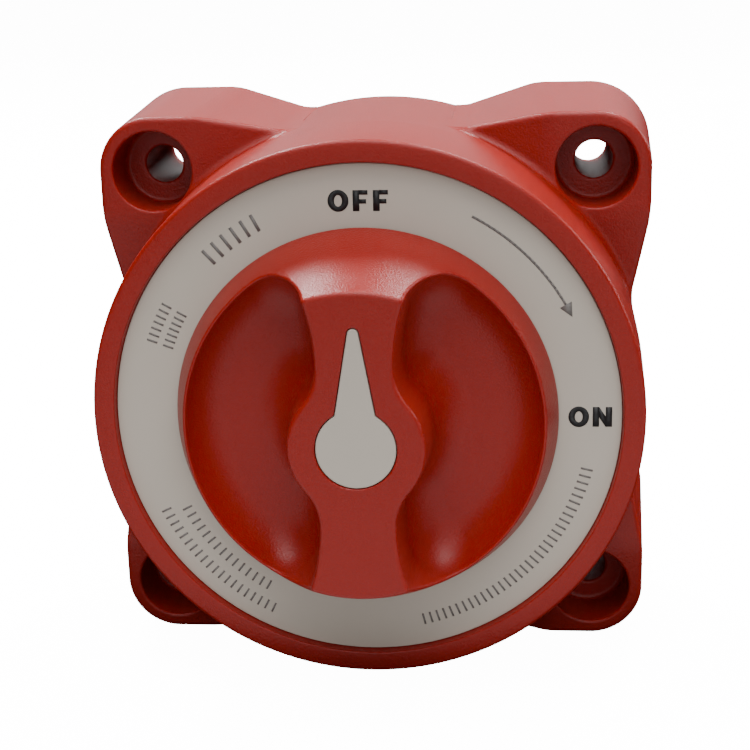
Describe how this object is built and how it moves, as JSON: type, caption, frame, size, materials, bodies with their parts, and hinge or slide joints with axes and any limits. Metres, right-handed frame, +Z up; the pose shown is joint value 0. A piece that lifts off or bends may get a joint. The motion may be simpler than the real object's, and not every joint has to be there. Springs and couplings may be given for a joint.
{
  "type": "rotary battery switch",
  "caption": "Marine rotary battery switch: round barrel on four drilled ears, dial label, domed knob with finger scoops and a grip bar, copper bridge and stud terminals inside.",
  "frame": {"origin": "centre of the rear mounting face, midway between the four mounting holes", "axes": "+Z up, towards the OFF mark; +Y into the panel, so the front faces -Y; +X to the right seen from the front, towards the ON mark"},
  "size_m": [0.0992, 0.0707, 0.0992],
  "materials": {
    "shell": "satin moulded red plastic",
    "label": "matt off-white plastic",
    "moulding": "black glass-filled moulding",
    "rubber": "matt black rubber",
    "steel": "stainless steel",
    "tinned": "tin-plated copper, satin",
    "copper": "satin copper",
    "silver": "silver contact facing"
  },
  "bodies": {
    "case": {"housing": "shell", "dial_label": "label", "contact_base": "moulding", "base_gasket": "rubber", "base_screws": "steel", "battery_stud": "tinned", "load_stud": "tinned", "stud_seals": "rubber", "stud_washers": "steel", "stud_lock_washers": "steel", "stud_nuts": "steel", "battery_contact": "copper", "load_contact": "copper", "fixed_tips": "silver", "detent_springs": "steel"},
    "rotor": {"rotor_shaft": "moulding", "thrust_washer": "tinned", "shaft_seal": "rubber", "contact_spring": "steel", "knob": "shell", "knob_screw": "steel", "pointer_insert": "label"},
    "bridge": {"contact_bridge": "copper", "bridge_tips": "silver"},
    "rear_cover": {"rear_cover": "shell"},
    "left_plate": {"cable_plate_left": "shell"},
    "right_plate": {"cable_plate_right": "shell"},
    "bottom_plate": {"cable_plate_bottom": "shell"}
  },
  "joints": [
    {"name": "knob_turn", "type": "hinge", "parent": "case", "child": "rotor", "pos_m": [0, -0.052, 0], "axis": [0, 1, 0], "range_deg": [0, 90], "deforming": ["detent_springs"]},
    {"name": "bridge_lift", "type": "slide", "parent": "rotor", "child": "bridge", "axis": [0, 1, 0], "range_m": [0, 0.002], "deforming": ["contact_spring"]},
    {"name": "cover_pull", "type": "slide", "parent": "case", "child": "rear_cover", "axis": [0, 1, 0], "range_m": [0, 0.03]},
    {"name": "left_plate_pull", "type": "slide", "parent": "case", "child": "left_plate", "axis": [0, 1, 0], "range_m": [0, 0.025]},
    {"name": "right_plate_pull", "type": "slide", "parent": "case", "child": "right_plate", "axis": [0, 1, 0], "range_m": [0, 0.025]},
    {"name": "bottom_plate_pull", "type": "slide", "parent": "case", "child": "bottom_plate", "axis": [0, 1, 0], "range_m": [0, 0.025]}
  ],
  "couplings": [
    {"joint": "bridge_lift", "follows": "knob_turn", "m_per_rad": 0.001273}
  ]
}
